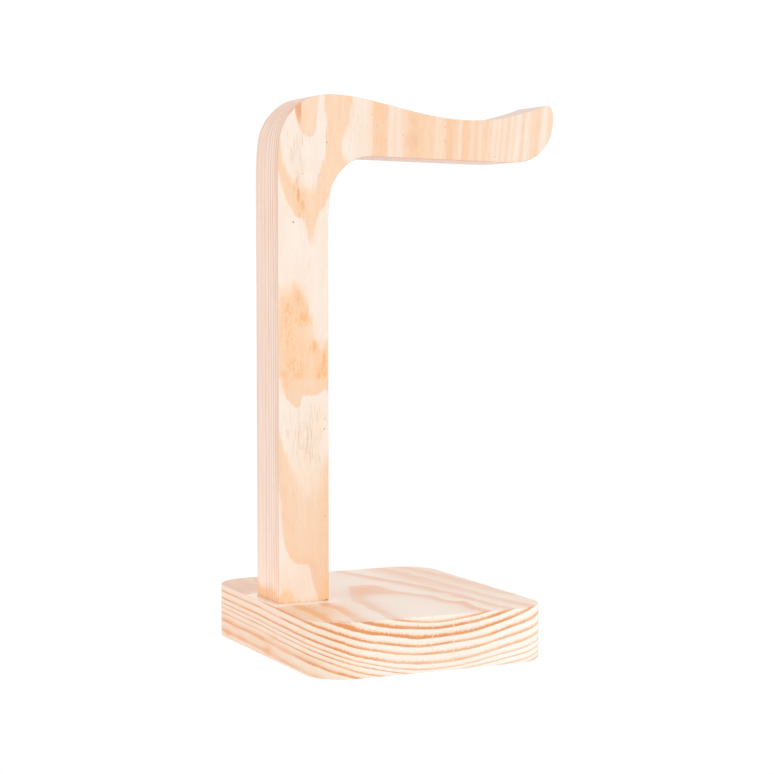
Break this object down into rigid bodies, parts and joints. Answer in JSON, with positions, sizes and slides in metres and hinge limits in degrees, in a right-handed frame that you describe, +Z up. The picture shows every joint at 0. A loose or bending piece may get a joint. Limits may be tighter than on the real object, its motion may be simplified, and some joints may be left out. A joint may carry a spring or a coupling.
{
  "type": "headphone stand",
  "caption": "Desk headphone stand in pine: a rounded base block and a one-piece post with a dipped, upturned arm that the headband lies over.",
  "frame": {"origin": "middle of the stand's footprint box, on the table under the felt pads", "axes": "+Z up, +X from the post towards the arm's upturned nose, Y across the arm"},
  "size_m": [0.1534, 0.1408, 0.2695],
  "materials": {
    "base_pine": "bare pine, sanded, faint satin; arched end grain on the front and back, long grain on the sides",
    "hanger_pine": "bare flat-sawn pine, sanded, faint satin",
    "screw_steel": "zinc-plated steel",
    "dowel_beech": "raw beech",
    "pad_felt": "pressed wool felt"
  },
  "bodies": {
    "root": {"base_block": "base_pine", "hanger": "hanger_pine", "foot_screw": "screw_steel", "foot_dowels": "dowel_beech", "felt_pads": "pad_felt"}
  },
  "joints": []
}
